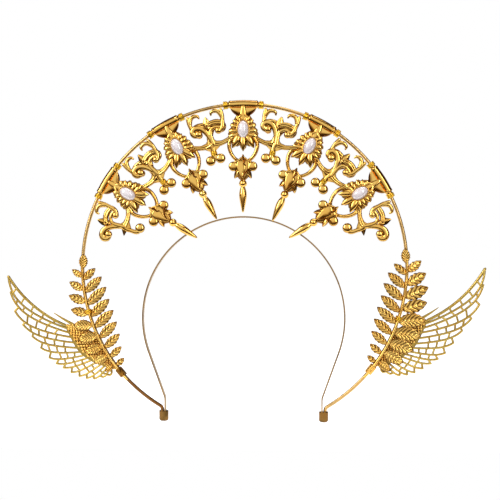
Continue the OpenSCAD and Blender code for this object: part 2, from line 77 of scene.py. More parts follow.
class Shape:
    """Points in millimetres, faces, and for each point how far it stands out of the relief, from 0 to 1, which sets
    its painted shade and painted highlight.
    """

    def __init__(self):
        self.points, self.faces, self.lift = [], [], []
        self.layers = 0

    def layer(self, back):
        """The depth of the next form's back, a hair off the last one's: crossing forms then share no plane."""
        self.layers += 1
        return back - HAIR * (self.layers % LAYERS)

    def add(self, points, faces, lift):
        base = len(self.points)
        self.points.extend(map(tuple, points))
        self.faces.extend([tuple(base + k for k in f) for f in faces])
        self.lift.extend(lift)


def skin(rows, ring):
    """Faces of a closed skin over rows of points, ring points in each, with a cap at both ends."""
    faces = [(k * ring + j, k * ring + (j + 1) % ring, (k + 1) * ring + (j + 1) % ring, (k + 1) * ring + j)
             for k in range(rows - 1) for j in range(ring)]
    return faces + [tuple(range(ring)), tuple(range((rows - 1) * ring, rows * ring))]


# Places: a flat drawing's u, y and v to X, Y and Z
def straight(p):
    return p


def mirrored(p):
    return p * np.array([-1, 1, 1])


def on_hoop(angle, reach):
    a = math.radians(angle)

    def place(p):
        u, y, v = p[:, 0], p[:, 1], p[:, 2] + reach
        return np.stack([u * math.cos(a) + v * math.sin(a), y, HOOP_Z - u * math.sin(a) + v * math.cos(a)], 1)

    return place


def flipped(place):
    return lambda p: place(mirrored(p))


def leaning(place, angle, pivot):
    a = math.radians(angle)

    def lean(p):
        u, y, v = p[:, 0], p[:, 1], p[:, 2] - pivot
        return place(np.stack([u * math.cos(a) + v * math.sin(a), y, pivot - u * math.sin(a) + v * math.cos(a)], 1))

    return lean


def polar(r, a):
    a = np.radians(a)
    return np.stack([-r * np.sin(a), HOOP_Z + r * np.cos(a)], -1)


# Curves
def smooth(points, steps):
    p = np.array(points, float)
    n = len(p)
    rows = []
    for i in range(n - 1):
        a, b, c, d = p[max(i - 1, 0)], p[i], p[i + 1], p[min(i + 2, n - 1)]
        for k in range(steps):
            t = k / steps
            rows.append((2 * b + (c - a) * t + (2 * a - 5 * b + 4 * c - d) * t * t
                         + (3 * b - a - 3 * c + d) * t ** 3) / 2)
    rows.append(p[-1])
    return np.array(rows)


def along(points, s):
    p = np.array(points, float)
    x = s * (len(p) - 1)
    i = int(min(max(math.floor(x), 0), len(p) - 2))
    t = x - i
    a, b, c, d = p[max(i - 1, 0)], p[i], p[i + 1], p[min(i + 2, len(p) - 1)]
    return (2 * b + (c - a) * t + (2 * a - 5 * b + 4 * c - d) * t * t + (3 * b - a - 3 * c + d) * t ** 3) / 2


def runs(p):
    d = np.gradient(p, axis=0)
    return d / np.maximum(np.linalg.norm(d, axis=1), 1e-9)[:, None]


def rounded(path, start=True, end=True):
    """The path with half-round ends."""
    t = runs(path[:, :2])
    rows = [path]
    turns = np.radians([35, 62, 82])
    if start and path[0, 2] > 0.35:
        w = path[0, 2]
        rows.insert(0, np.array([[*(path[0, :2] - t[0] * w * math.sin(a)), w * math.cos(a)] for a in turns[::-1]]))
    if end and path[-1, 2] > 0.35:
        w = path[-1, 2]
        rows.append(np.array([[*(path[-1, :2] + t[-1] * w * math.sin(a)), w * math.cos(a)] for a in turns]))
    return np.concatenate(rows)


# Cross-sections of the relief: places across, from -1 to 1, and heights from 0 to 1
ACROSS = np.array([-1, -0.93, -0.78, -0.55, -0.3, -0.14, 0, 0.14, 0.3, 0.55, 0.78, 0.93, 1])
ROUND = np.sqrt(np.maximum(1 - ACROSS ** 2, 0))
GROOVED = ROUND * (1 - 0.28 * np.exp(-(ACROSS / 0.2) ** 2))
RIDGED = 1 - np.abs(ACROSS) ** 1.2


def crowned(shape, path, place, back, wall=0.5, rise=0.85, section=ROUND, ends=True, tone=1.0):
    """A cast bar along a drawn path of u, v and half width, flat behind and crowned in front."""
    back = shape.layer(back)
    if ends:
        path = rounded(path)
    t = runs(path[:, :2])
    side = np.stack([-t[:, 1], t[:, 0]], 1)
    points, lift = [], []
    for (u, v, w), s in zip(path, side):
        flat = np.array([u, v]) + np.outer(ACROSS * w, s)
        front = back - wall - rise * w * section
        points.append(np.stack([flat[:, 0], front, flat[:, 1]], 1))
        points.append(np.array([[flat[-1, 0], back, flat[-1, 1]], [flat[0, 0], back, flat[0, 1]]]))
        # Painted shade at the bar's edges and painted highlight on its crown; tone scales this, and a tone of 0
        # paints the whole bar in shade
        lift.extend(np.clip(section, 0, 1) * tone)
        lift.extend([BEHIND, BEHIND])
    shape.add(place(np.concatenate(points)), skin(len(path), len(ACROSS) + 2), lift)


def bar(shape, drawn, place, back, steps=5, **more):
    crowned(shape, smooth(drawn, steps), place, back, **more)


def dome(shape, middle, r, place, back, wall=0.4, high=None, around=20, up=7, oval=1.0):
    """A ball end: a low wall with a half ball on it."""
    back = shape.layer(back)
    high = r if high is None else high
    points, lift = [], []
    rows = [(r * 0.94, back)] + [(r * math.cos(f), back - wall - high * math.sin(f))
                                 for f in np.linspace(0, math.pi / 2 * 0.94, up)]
    for k, (radius, y) in enumerate(rows):
        for j in range(around):
            a = 2 * math.pi * j / around
            points.append((middle[0] + radius * math.cos(a), y, middle[1] + oval * radius * math.sin(a)))
            lift.append(min(1, ((k - 1) / (up - 2)) ** 0.6) if k else BEHIND)
    shape.add(place(np.array(points)), skin(len(rows), around), lift)


def plate(shape, outline, place, front, back, edge=0.25, lift=0.35):
    """A flat plate with a small chamfer round its front; lift sets its share of painted shade, and the chamfer is
    painted darker.
    """
    back = shape.layer(back)
    o = np.array(outline, float)
    n = len(o)
    area = np.sum(o[:, 0] * np.roll(o[:, 1], -1) - np.roll(o[:, 0], -1) * o[:, 1])
    d = np.roll(o, -1, 0) - np.roll(o, 1, 0)
    inner = np.stack([-d[:, 1], d[:, 0]], 1) / np.maximum(np.linalg.norm(d, axis=1), 1e-9)[:, None]
    inset = o + inner * edge * (1 if area > 0 else -1)
    points = np.concatenate([
        np.stack([o[:, 0], np.full(n, back), o[:, 1]], 1),
        np.stack([o[:, 0], np.full(n, front + edge), o[:, 1]], 1),
        np.stack([inset[:, 0], np.full(n, front), inset[:, 1]], 1),
    ])
    shape.add(place(points), skin(3, n), [BEHIND] * n + [lift * 0.4] * n + [lift] * n)


def pillow(shape, outline, middle, place, back, wall, rise, rings=8):
    """A plump form that stands up along an outline and rounds over to its middle."""
    back = shape.layer(back)
    o, c = np.array(outline, float), np.array(middle, float)
    n = len(o)
    points, lift = [np.stack([o[:, 0], np.full(n, back), o[:, 1]], 1)], [BEHIND] * n
    for f in np.linspace(0, math.pi / 2 * 0.95, rings):
        flat = c + (o - c) * math.cos(f)
        points.append(np.stack([flat[:, 0], np.full(n, back - wall - rise * math.sin(f)), flat[:, 1]], 1))
        lift += [0.1 + 0.9 * math.sin(f)] * n
    shape.add(place(np.concatenate(points)), skin(rings + 1, n), lift)


def whole(half):
    """A closed outline from its left half, smoothed."""
    p = smooth(half, 4)
    return np.concatenate([p, p[-2:0:-1] * [-1, 1]])


def lathe(shape, profile, place, middle, around=32, lift=None):
    """Radius and height pairs turned about an upright axis at middle, in u and y."""
    points, lifts = [], []
    for k, (r, h) in enumerate(profile):
        for j in range(around):
            a = 2 * math.pi * j / around
            points.append((middle[0] + r * math.cos(a), middle[1] + r * math.sin(a), h))
            lifts.append(lift[k] if lift is not None else 0.8)
    shape.add(place(np.array(points)), skin(len(profile), around), lifts)


def tube(shape, path, r, place=straight, sides=10, lift=0.8, closed=False):
    """A round wire along points in space."""
    p = np.array(path, float)
    n = len(p)
    t = runs(p)
    if closed:
        t = np.roll(p, -1, 0) - np.roll(p, 1, 0)
        t /= np.linalg.norm(t, axis=1)[:, None]
    normal = np.cross(t[0], [0.3, 0.8, 0.52])
    points = []
    for i in range(n):
        normal = normal - t[i] * np.dot(normal, t[i])
        normal /= np.linalg.norm(normal)
        other = np.cross(t[i], normal)
        for k in range(sides):
            a = 2 * math.pi * k / sides
            points.append(p[i] + r * (math.cos(a) * normal + math.sin(a) * other))
    faces = skin(n, sides)
    if closed:
        seam = (n - 1) * sides
        faces[-2:] = [(seam + k, seam + (k + 1) % sides, (k + 1) % sides, k) for k in range(sides)]
    shape.add(place(np.array(points)), faces, [lift] * len(points))


def ball(shape, middle, r, place, around=10, up=6, lift=0.8):
    points, lifts = [], []
    for f in np.linspace(-1.35, 1.35, up):
        for j in range(around):
            a = 2 * math.pi * j / around
            points.append((middle[0] + r * math.cos(f) * math.cos(a), middle[1] + r * math.sin(f),
                           middle[2] + r * math.cos(f) * math.sin(a)))
            lifts.append(lift)
    shape.add(place(np.array(points)), skin(up, around), lifts)


# Materials
def nodes_of(name):
    m = bpy.data.materials.new(name)
    m.use_nodes = True
    return m, m.node_tree.nodes, m.node_tree.links, m.node_tree.nodes["Principled BSDF"]


def noise(nodes, links, coords, scale, detail=3.0):
    n = nodes.new("ShaderNodeTexNoise")
    n.inputs["Scale"].default_value = scale
    n.inputs["Detail"].default_value = detail
    links.new(coords.outputs["Object"], n.inputs["Vector"])
    return n.outputs["Fac"]


def ranged(nodes, links, value, low, high, to_low, to_high):
    r = nodes.new("ShaderNodeMapRange")
    for k, x in zip(("From Min", "From Max", "To Min", "To Max"), (low, high, to_low, to_high)):
        r.inputs[k].default_value = x
    links.new(value, r.inputs["Value"])
    return r.outputs["Result"]


def mixed(nodes, links, fac, a, b):
    m = nodes.new("ShaderNodeMix")
    m.data_type = "RGBA"
    links.new(fac, m.inputs["Factor"])
    for socket, c in ((m.inputs[6], a), (m.inputs[7], b)):
        if isinstance(c, tuple):
            socket.default_value = (*c, 1)
        else:
            links.new(c, socket)
    return m.outputs[2]


def metal(name, light, deep, rough, relief=None, grain=2400, bump=0.05, blotch=120, low_shade=None):
    """Gilt metal, uneven in colour and gloss, with a fine cast grain: painted shade in the hollows and at the edges
    of the relief, a painted highlight on its crowns, and for the hoop wire painted shade on its lower part.
    """
    m, nodes, links, shader = nodes_of(name)
    coords = nodes.new("ShaderNodeTexCoord")
    fine = noise(nodes, links, coords, grain)
    broad = noise(nodes, links, coords, blotch, 2.0)
    warm = tuple(c * k for c, k in zip(light, (1.0, 0.87, 0.68)))
    colour = mixed(nodes, links, ranged(nodes, links, broad, 0.35, 0.68, 0, 1), light, warm)
    if relief:
        # Painted shade: low lift, at the edges and in the hollows of the relief, takes the deep colour, and the
        # crowns take the light colour as a painted highlight; the fine grain breaks up the boundary a little
        lift = nodes.new("ShaderNodeAttribute")
        lift.attribute_name = "lift"
        relief_shade = nodes.new("ShaderNodeMath")
        relief_shade.operation = "MULTIPLY_ADD"
        relief_shade.inputs[1].default_value = 0.06
        links.new(fine, relief_shade.inputs[0])
        links.new(lift.outputs["Fac"], relief_shade.inputs[2])
        colour = mixed(nodes, links, ranged(nodes, links, relief_shade.outputs[0], *relief, 0, 1), deep, colour)
    else:
        colour = mixed(nodes, links, ranged(nodes, links, broad, 0.3, 0.5, 0, 1), deep, colour)
    if low_shade:
        # Painted shade: the wire is painted darker below the frame's origin, fully from 40 mm down on its left side
        # and faintly on its right
        split = nodes.new("ShaderNodeSeparateXYZ")
        links.new(coords.outputs["Object"], split.inputs[0])
        unshaded = nodes.new("ShaderNodeMath")
        unshaded.operation = "MAXIMUM"
        links.new(ranged(nodes, links, split.outputs["Z"], -0.04, 0.0, 0, 1), unshaded.inputs[0])
        links.new(ranged(nodes, links, split.outputs["X"], -0.02, 0.02, 0, 0.8), unshaded.inputs[1])
        colour = mixed(nodes, links, unshaded.outputs[0], low_shade, colour)
    links.new(colour, shader.inputs["Base Color"])
    links.new(ranged(nodes, links, fine, 0.3, 0.7, rough - 0.03, rough + 0.04), shader.inputs["Roughness"])
    shader.inputs["Metallic"].default_value = 1.0
    b = nodes.new("ShaderNodeBump")
    b.inputs["Strength"].default_value = bump
    b.inputs["Distance"].default_value = 0.0002
    links.new(fine, b.inputs["Height"])
    links.new(b.outputs["Normal"], shader.inputs["Normal"])
    return m


def pearl_material():
    m, nodes, links, shader = nodes_of("pearl_nacre")
    coords = nodes.new("ShaderNodeTexCoord")
    lift = nodes.new("ShaderNodeAttribute")
    lift.attribute_name = "lift"
    cloud = noise(nodes, links, coords, 110, 1.0)
    body = mixed(nodes, links, ranged(nodes, links, cloud, 0.36, 0.64, 0, 1), (0.82, 0.76, 0.78), (0.78, 0.69, 0.71))
    # Painted shade: the pearl is painted brown towards the rim of its dome
    colour = mixed(nodes, links, ranged(nodes, links, lift.outputs["Fac"], 0.05, 0.6, 0, 1), (0.36, 0.24, 0.22), body)
    links.new(colour, shader.inputs["Base Color"])
    links.new(ranged(nodes, links, cloud, 0.3, 0.7, 0.14, 0.22), shader.inputs["Roughness"])
    shader.inputs["IOR"].default_value = 1.9
    shader.inputs["Coat Weight"].default_value = 1.0
    shader.inputs["Coat Roughness"].default_value = 0.05
    shader.inputs["Sheen Weight"].default_value = 0.25
    shader.inputs["Sheen Tint"].default_value = (0.9, 0.75, 0.9, 1)
    return m


CAST = metal("cast_gold", (0.84, 0.55, 0.15), (0.15, 0.045, 0.006), 0.15, relief=(0.1, 0.85), bump=0.02)
LEAF = metal("leaf_gold", (0.86, 0.57, 0.155), (0.1, 0.035, 0.006), 0.22, relief=(0.1, 0.85), bump=0.06)
WING = metal("wing_gold", (0.52, 0.38, 0.1), (0.16, 0.09, 0.015), 0.28, relief=(0.0, 0.6), bump=0.08)
WIRE = metal("hoop_gold", (0.66, 0.46, 0.19), (0.5, 0.32, 0.12), 0.3, low_shade=(0.2, 0.09, 0.025))
BAND = metal("band_gold", (0.38, 0.26, 0.125), (0.26, 0.16, 0.075), 0.3)
BRIGHT = metal("bright_wire", (0.8, 0.54, 0.06), (0.5, 0.29, 0.02), 0.2)
DARK = metal("dark_wire", (0.3, 0.155, 0.028), (0.1, 0.04, 0.006), 0.2, blotch=420)
FERRULE = metal("ferrule_gold", (0.2, 0.115, 0.036), (0.08, 0.042, 0.01), 0.16)
PEARL = pearl_material()


def piece(name, shape, material, node, sharp=38):
    mesh = bpy.data.meshes.new(name)
    mesh.from_pydata([tuple(c * 0.001 for c in p) for p in shape.points], [], shape.faces)
    mesh.validate()
    b = bmesh.new()
    b.from_mesh(mesh)
    bmesh.ops.recalc_face_normals(b, faces=b.faces)
    b.to_mesh(mesh)
    b.free()
    mesh.attributes.new("lift", "FLOAT", "POINT").data.foreach_set("value", [float(x) for x in shape.lift])
    mesh.polygons.foreach_set("use_smooth", [True] * len(mesh.polygons))
    mesh.set_sharp_from_angle(angle=math.radians(sharp))
    mesh.materials.append(material)
    o = bpy.data.objects.new(name, mesh)
    bpy.context.scene.collection.objects.link(o)
    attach(o, "root")
    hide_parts(node)
    return o


# Scroll panels: the left half, with the pearl's middle at the origin
HOOK = [[-21.2, 9.6, 0.6], [-21, 11.2, 1.05], [-19.2, 12.2, 1.3], [-17, 12.1, 1.4], [-15.2, 10.6, 1.5],
        [-14.3, 9, 1.4]]
STEM_EDGE = [[-14.7, 13, 1.2], [-13.9, 9.5, 1.4], [-13.6, 6, 1.4], [-13.4, 3.2, 1.6], [-14, 0.9, 1.6],
             [-15.6, -0.6, 1.7]]
VOLUTE = [[-19.4, -9.2, 1.8], [-20.5, -6.2, 1.6], [-21.4, -3, 1.4], [-21.3, -0.6, 1.2], [-19.8, 1.2, 1.2],
          [-17.4, 1.9, 1.3], [-15, 1.6, 1.5]]
ARCH_LEAF = [[-14.4, 5, 1.6], [-17.4, 5.2, 1.9], [-20.6, 4.5, 1.8], [-23.4, 2.8, 1.8]]
SPEAR = [[-23.4, 1.6, 2.2], [-24, 4.4, 2.3], [-24.6, 6.9, 1.2], [-24.9, 8.2, 0.3]]
BUD_ARM = [[-20.2, -7.8, 1.6], [-22.2, -4.6, 1.6], [-24.4, -1.7, 1.8], [-27, 0.3, 2], [-29.8, 0.9, 2.1],
           [-32.2, 0, 2], [-33.1, -2, 1.9], [-32, -3.9, 1.7], [-30, -4.2, 1.5]]
SIDE_TIP = [[-19.6, -9.8, 2.4], [-21.6, -10.8, 1.6], [-24.5, -12.2, 0.2]]
PANEL_ARM = [[-18.6, -9.4, 2], [-15.2, -8.9, 1.7], [-12.2, -7.7, 1.55], [-9.4, -6.1, 1.5], [-6.6, -4.6, 1.5]]
FOOT = [[-19.8, -9.6, 2], [-19.8, -12, 1.6], [-19.3, -14, 1.4], [-18.9, -15.8, 1.4], [-18.4, -17.4, 1.5],
        [-17.4, -18.6, 1.6], [-15.8, -18.9, 1.6]]
GUSSET = [[-10, -5.6], [-11, -8], [-13.6, -9.5], [-15.2, -10.8], [-16.5, -12.3], [-17.8, -13.8], [-20, -11],
          [-21.6, -4.5], [-20, -3], [-19.3, -6], [-17.2, -7.1], [-13.5, -6.9]]
SADDLE = [[0, 8], [-2.4, 8.4], [-4.4, 9.4], [-6.6, 11], [-8.1, 12.9], [-8.6, 15]]
NECK_LEAF = [[0, 14.4, 1.4], [0, 11.4, 2.2], [0, 7, 2.2]]
HEART_LOOP = [[-6.8, -5, 1.4], [-8.9, -8.4, 1.4], [-9, -12, 1.3], [-7.5, -16, 1.2], [-5, -19.1, 1.15],
              [-2.3, -20.4, 1.1], [0.3, -20.4, 1.1]]
TOOTHED = [[0, 9.2], [4.6, 9], [6, 7], [5.8, 5.4], [8.2, 4], [8, 1.4], [9.4, 0], [9.2, -1.2], [10, -2.6],
           [9.2, -4.6], [7.8, -5.8], [7.4, -8.4], [6, -10.4], [4, -11], [2.2, -10.2], [1.8, -11.8], [0, -13.6]]
# Leaflets beside and below the pearl: root, tip and half width
TEETH = [((2.2, 5.2), (4.5, 9.3), 1.45), ((3.2, 3.8), (6.9, 6.4), 1.6), ((3.8, 1.6), (8.7, 3.1), 1.7),
         ((4, -1), (9.7, -0.8), 1.75), ((3.6, -3.4), (10.1, -4.5), 1.85)]
LEAFLETS = [((3, -4.6), (7.2, -12.2), 2.3)]
PEARL_W, PEARL_H = 7.2, 11.6


def lobe(shape, a, b, w, place, back, section=RIDGED):
    a, b = np.array(a), np.array(b)
    path = np.array([[*(a + (b - a) * t), max(0.12, w * math.sin(math.pi * (0.28 + 0.72 * t)) ** 0.8)]
                     for t in np.linspace(0, 0.985, 9)])
    crowned(shape, path, place, back, wall=0.35, rise=0.75, section=section, ends=False)


def cove(shape, lower, top, place, back, deep, shallow, rows=6):
    """A hollow that falls back from an upper line, at depth deep, to a lower edge, at depth shallow."""
    low = np.array(lower, float)
    n = len(low)
    points, lift = [], []
    for t in np.linspace(0, 1, rows):
        v = top + (low[:, 1] - top) * t
        points.append(np.stack([low[:, 0], np.full(n, deep + (shallow - deep) * t ** 4), v], 1))
        # Painted shade: the hollow darkens from a quarter of the way down to its lower edge, more towards its sides
        # than at its middle
        lift += list(1 - np.clip((t - 0.25) / 0.6, 0, 1) * np.minimum(1, np.abs(low[:, 0]) / 4))
    for v in (low[:, 1], np.full(n, top)):
        points.append(np.stack([low[:, 0], np.full(n, back), v], 1))
        lift += [BEHIND] * n
    rings = rows + 2
    faces = [(k * n + j, k * n + j + 1, (k + 1) % rings * n + j + 1, (k + 1) % rings * n + j)
             for k in range(rings) for j in range(n - 1)]
    faces += [tuple(k * n for k in range(rings)), tuple(k * n + n - 1 for k in range(rings))]
    shape.add(place(np.concatenate(points)), faces, lift)


def half_scroll(shape, place, back):
    bar(shape, HOOK, place, back, wall=0.4, rise=0.8)
    bar(shape, STEM_EDGE, place, back, wall=0.4, rise=0.8)
    bar(shape, ARCH_LEAF, place, back, wall=0.35, rise=0.6, section=GROOVED)
    bar(shape, SPEAR, place, back, wall=0.35, rise=0.35, section=RIDGED)
    bar(shape, VOLUTE, place, back, wall=0.5, rise=0.7)
    bar(shape, BUD_ARM, place, back, wall=0.4, rise=0.6)
    bar(shape, SIDE_TIP, place, back, wall=0.35, rise=0.5, section=RIDGED)
    bar(shape, PANEL_ARM, place, back, wall=0.4, rise=0.65, section=GROOVED)
    bar(shape, FOOT, place, back, wall=0.4, rise=0.6)
    plate(shape, GUSSET, place, back - 1.25, back, edge=0.45, lift=0.75)
    dome(shape, (-16.2, -0.4), 2.3, place, back, wall=0.3, high=1.7)
    dome(shape, (-29.2, -3.1), 2.5, place, back, wall=0.3, high=1.7)
    dome(shape, (-14.7, -18.6), 3.2, place, back, wall=0.3, high=1.7, around=28, up=9)
    # An eyelet in the spear's foot; a plate behind its ring paints the hole in shade
    ring = np.radians(np.linspace(0, 360, 20, endpoint=False))
    eye = np.stack([-23.5 + 0.85 * np.cos(ring), np.full(20, back - 2.2), 2.2 + 0.85 * np.sin(ring)], 1)
    tube(shape, eye, 0.3, place, sides=8, lift=0.9, closed=True)
    plate(shape, eye[:, [0, 2]], place, back - 2.4, back - 1.2, edge=0.1, lift=0)


def barrel(shape, angle):
    """The sleeve on the hoop, open behind, with a bead at each end of its thick middle."""
    turns = np.array([-7.1, -6.2, -5.2, -4.95, -4.8, -4.5, -4.25, -4, -2, 0])
    radii = np.array([1.85, 1.95, 2, 2.6, 2.78, 2.8, 2.66, 2.66, 2.72, 2.76])
    turns = np.concatenate([turns, -turns[-2::-1]])
    radii = np.concatenate([radii, radii[-2::-1]])
    around = 26
    points, lift = [], []
    for t, r in zip(turns, radii):
        a = math.radians(angle + t)
        open_at = math.asin(0.2 / r)
        for f in np.linspace(-open_at, math.pi + open_at, around):
            reach = HOOP_R + r * math.cos(f)
            points.append((reach * math.sin(a), -r * math.sin(f), HOOP_Z + reach * math.cos(a)))
            # Painted shade along the sleeve's outer edge, fading to full light on its inner edge, and darker still on
            # its thin ends
            lift.append((1.0 if r > 2.2 else 0.6) * min(1, 0.05 + 1.7 * math.sin(f / 2) ** 2))
    shape.add(np.array(points), skin(len(turns), around), lift)


def panel(i):
    s = Shape()
    place = on_hoop(panel_angle(i), REACH)
    half_scroll(s, place, -2.05)
    half_scroll(s, flipped(place), PANEL_BACK - 0.05)
    outline = TOOTHED + [[-u, v] for u, v in TOOTHED[-2:0:-1]]
    # The toothed back plate, in painted shade, darkens the gaps between the leaflets round the pearl
    plate(s, outline, place, -2.5, PANEL_BACK, lift=0.25)
    edge = smooth(SADDLE[::-1], 4)
    cove(s, np.concatenate([edge, edge[-2::-1] * [-1, 1]]), 14.2, place, PANEL_BACK, -2.5, -1.3)
    for side in (place, flipped(place)):
        bar(s, HEART_LOOP, side, PANEL_BACK, wall=1.3, rise=1.0, section=GROOVED)
        for a, b, w in TEETH:
            lobe(s, a, b, w, side, -2.3, section=ROUND)
        for a, b, w in LEAFLETS:
            lobe(s, a, b, w, side, -2.9, section=ROUND)
        bar(s, [[-0.4, 10.2, 0.6], [-2, 8.6, 0.9], [-3.5, 7.2, 0.7]], side, -2.3, wall=0.4, rise=1.0)
    lobe(s, (0, -5.4), (0, -14.4), 2.1, place, -3.1, section=ROUND)
    bar(s, NECK_LEAF, place, PANEL_BACK, wall=1.7, rise=0.45)
    # The bezel ring round the pearl takes part of the painted shade
    turn = np.linspace(0, 2 * math.pi, 48, endpoint=False)
    ring = np.stack([(PEARL_W / 2 + 0.38) * np.cos(turn), np.full(48, PANEL_FRONT - 0.15),
                     (PEARL_H / 2 + 0.38) * np.sin(turn)], 1)
    tube(s, ring, 0.6, place, sides=10, lift=0.6, closed=True)
    barrel(s, panel_angle(i))
    return s


for i in PANELS:
    piece(f"scroll_relief_{i}", panel(i), CAST, f"scroll_panel_{i}")


# Pearls
def pearl(i):
    s = Shape()
    around, up = 40, 14
    points, lift = [], []
    for k in range(up):
        f = math.pi / 2 * k / (up - 0.4)
        for j in range(around):
            a = 2 * math.pi * j / around
            points.append((PEARL_W / 2 * math.cos(f) * math.cos(a), PANEL_FRONT - 3.5 * math.sin(f),
                           PEARL_H / 2 * math.cos(f) * math.sin(a)))
            # Lift rises from the dome's rim to its top, for the painted shade at the rim
            lift.append(math.sin(f))
    s.add(on_hoop(panel_angle(i), REACH)(np.array(points)), skin(up, around), lift)
    return s


for i in PANELS:
    piece(f"pearl_dome_{i}", pearl(i), PEARL, f"pearl_{i}", sharp=60)


# Fleurs with a collar and a spike
FLEUR = [[0, -16.4], [-1.1, -18.2], [-3.2, -20.6], [-5.8, -21], [-5.8, -23], [-5.6, -25], [-5.4, -26.4],
         [-5, -28.4], [-5.5, -31.8], [-3.6, -31], [-2, -32.6], [0, -33.4]]
SPIKE = [(0.9, -32.2), (1.4, -32.7), (1.5, -33.0), (2.1, -33.6), (2.56, -34.7), (2.6, -35.6), (2.3, -36.6),
         (1.6, -37.2), (1.4, -37.5), (1.7, -38.2), (2.15, -39.6), (2.42, -41.2), (2.5, -42.6), (2.36, -44.6),
         (2.0, -47), (1.5, -49.6), (1.0, -52), (0.65, -53.3), (0.25, -53.9)]
SHIELD = [[0, -21.8], [-0.6, -20.6], [-2.1, -19.9], [-3.6, -20.6], [-4.4, -22.6], [-4.3, -24.9], [-3.7, -27.3],
          [-2.8, -29.8], [-1.7, -32], [0, -33.3]]
PETAL = [[0.4, -20.5], [1.3, -22.5], [2, -24.6], [1.5, -27], [0.6, -29.5], [0, -33.1], [-1.6, -31.9], [-2.7, -29.7],
         [-3.6, -27.2], [-4.2, -24.9], [-4.2, -22.7], [-3.5, -20.8], [-2.1, -20.1], [-0.6, -20.2]]
# Dark lines painted on the fleur as shade along the right edges of its middle petal
CREASE_SHADES = [[[0.2, -18.6, 0.45], [1.2, -20.2, 0.45], [0.6, -22.4, 0.45], [1.8, -23.4, 0.4]],
           [[0.2, -30.5, 0.4], [1.6, -28, 0.45], [3.6, -26, 0.45], [6, -25.4, 0.4]]]
LEAN = [0, 0, 0, -4, 0]


def drop(i):
    s = Shape()
    place = leaning(on_hoop(panel_angle(i), REACH), LEAN[i - 1], -20)
    outline = FLEUR + [[-u, v] for u, v in FLEUR[-2:0:-1]]
    # The back plate, in painted shade, darkens the gaps between the fleur's forms
    plate(s, outline, place, PANEL_FRONT - 0.7, PANEL_FRONT, lift=0.25)
    for side in (place, flipped(place)):
        dome(s, (-6.2, -24), 3.2, side, PANEL_FRONT, wall=0.3, high=1.4, around=28, up=9)
        lobe(s, (-2.4, -26.4), (-5.6, -31.9), 1.9, side, PANEL_FRONT - 0.3)
        bar(s, [[-1.2, -18.4, 0.5], [-2.8, -20, 0.8], [-5, -21, 0.7]], side, PANEL_FRONT - 0.3, wall=0.3, rise=0.9)
    bar(s, [[0, -16.2, 0.3], [0, -18, 1.0], [0, -20.4, 1.5], [0, -23, 1.2]], place, PANEL_FRONT - 0.3, wall=0.4,
        rise=0.8, section=RIDGED)
    pillow(s, whole(SHIELD), (0, -25.4), place, PANEL_FRONT - 0.4, 0.5, 0.8)
    pillow(s, smooth(PETAL + PETAL[:1], 4)[:-1], (-1.2, -25.4), place, PANEL_FRONT - 0.4, 1.1, 0.8)
    # Each line is a low bar painted wholly in shade
    for crease_shade in CREASE_SHADES:
        bar(s, crease_shade, place, PANEL_FRONT - 1.1, wall=1.1, rise=0.5, tone=0)
    # Painted shade on the spike's narrow necks above its lower tip
    lift = [0.45 if r < 1.6 and -40 < v else 1.0 for r, v in SPIKE]
    lathe(s, SPIKE, place, (0, PANEL_FRONT - 1.1), lift=lift)
    return s


for i in PANELS:
    piece(f"spike_relief_{i}", drop(i), CAST, f"drop_spike_{i}")


# Binding wires: more and closer turns than the solids have, in the same space
def wound(place, a, b, length, wire):
    s = Shape()
    turns = length / (wire * 2.06)
    t = np.linspace(0, turns, int(turns * 18) + 1)
    ang = 2 * math.pi * t
    path = np.stack([a * np.cos(ang), b * np.sin(ang), (t / turns - 0.5) * (length - 2 * wire)], 1)
    lead, tail = path[0] - path[1], path[-1] - path[-2]
    path = np.concatenate([[path[0] + lead / np.linalg.norm(lead) * wire * 2], path,
                           [path[-1] + tail / np.linalg.norm(tail) * wire * 2]])
    tube(s, path, wire, place, sides=9)
    return s


def along_hoop(angle):
    base = on_hoop(angle, HOOP_R)
    return lambda p: base(np.stack([p[:, 2], p[:, 1], -p[:, 0]], 1))


def shifted(place, y):
    return lambda p: place(p + np.array([0, y, 0]))


WRAP_TURN = (4.7 + 2 * 7.1) / 3 + 0.05
for i in PANELS:
    for name, k in (("left", -1), ("right", 1)):
        s = wound(along_hoop(panel_angle(i) + k * WRAP_TURN), 2.34, 2.34, 3.4, 0.31)
        piece(f"barrel_binding_{i}_{name}", s, BRIGHT, f"barrel_wrap_{i}_{name}", sharp=80)
for i in range(1, 5):
    s = wound(shifted(on_hoop(panel_angle(i + 0.5), REACH - 13.2), -2.0), 1.95, 2.2, 3.5, 0.29)
    piece(f"link_binding_{i}", s, BRIGHT, f"link_tie_{i}", sharp=80)


# Leaf sprigs, drawn on the left
INNER_LEN = [10.5, 14.4, 16.2, 16, 16, 15, 13, 9.8, 7]
OUTER_LEN = [9.4, 12, 13.6, 13.8, 14.4, 14.2, 13.6, 11.8, 8.6]
SLANT = 0.28
STEM_TOP, STEM_FOOT, STEM_R = 90, 134.3, 0.85
ROOT_TURN = 130.7


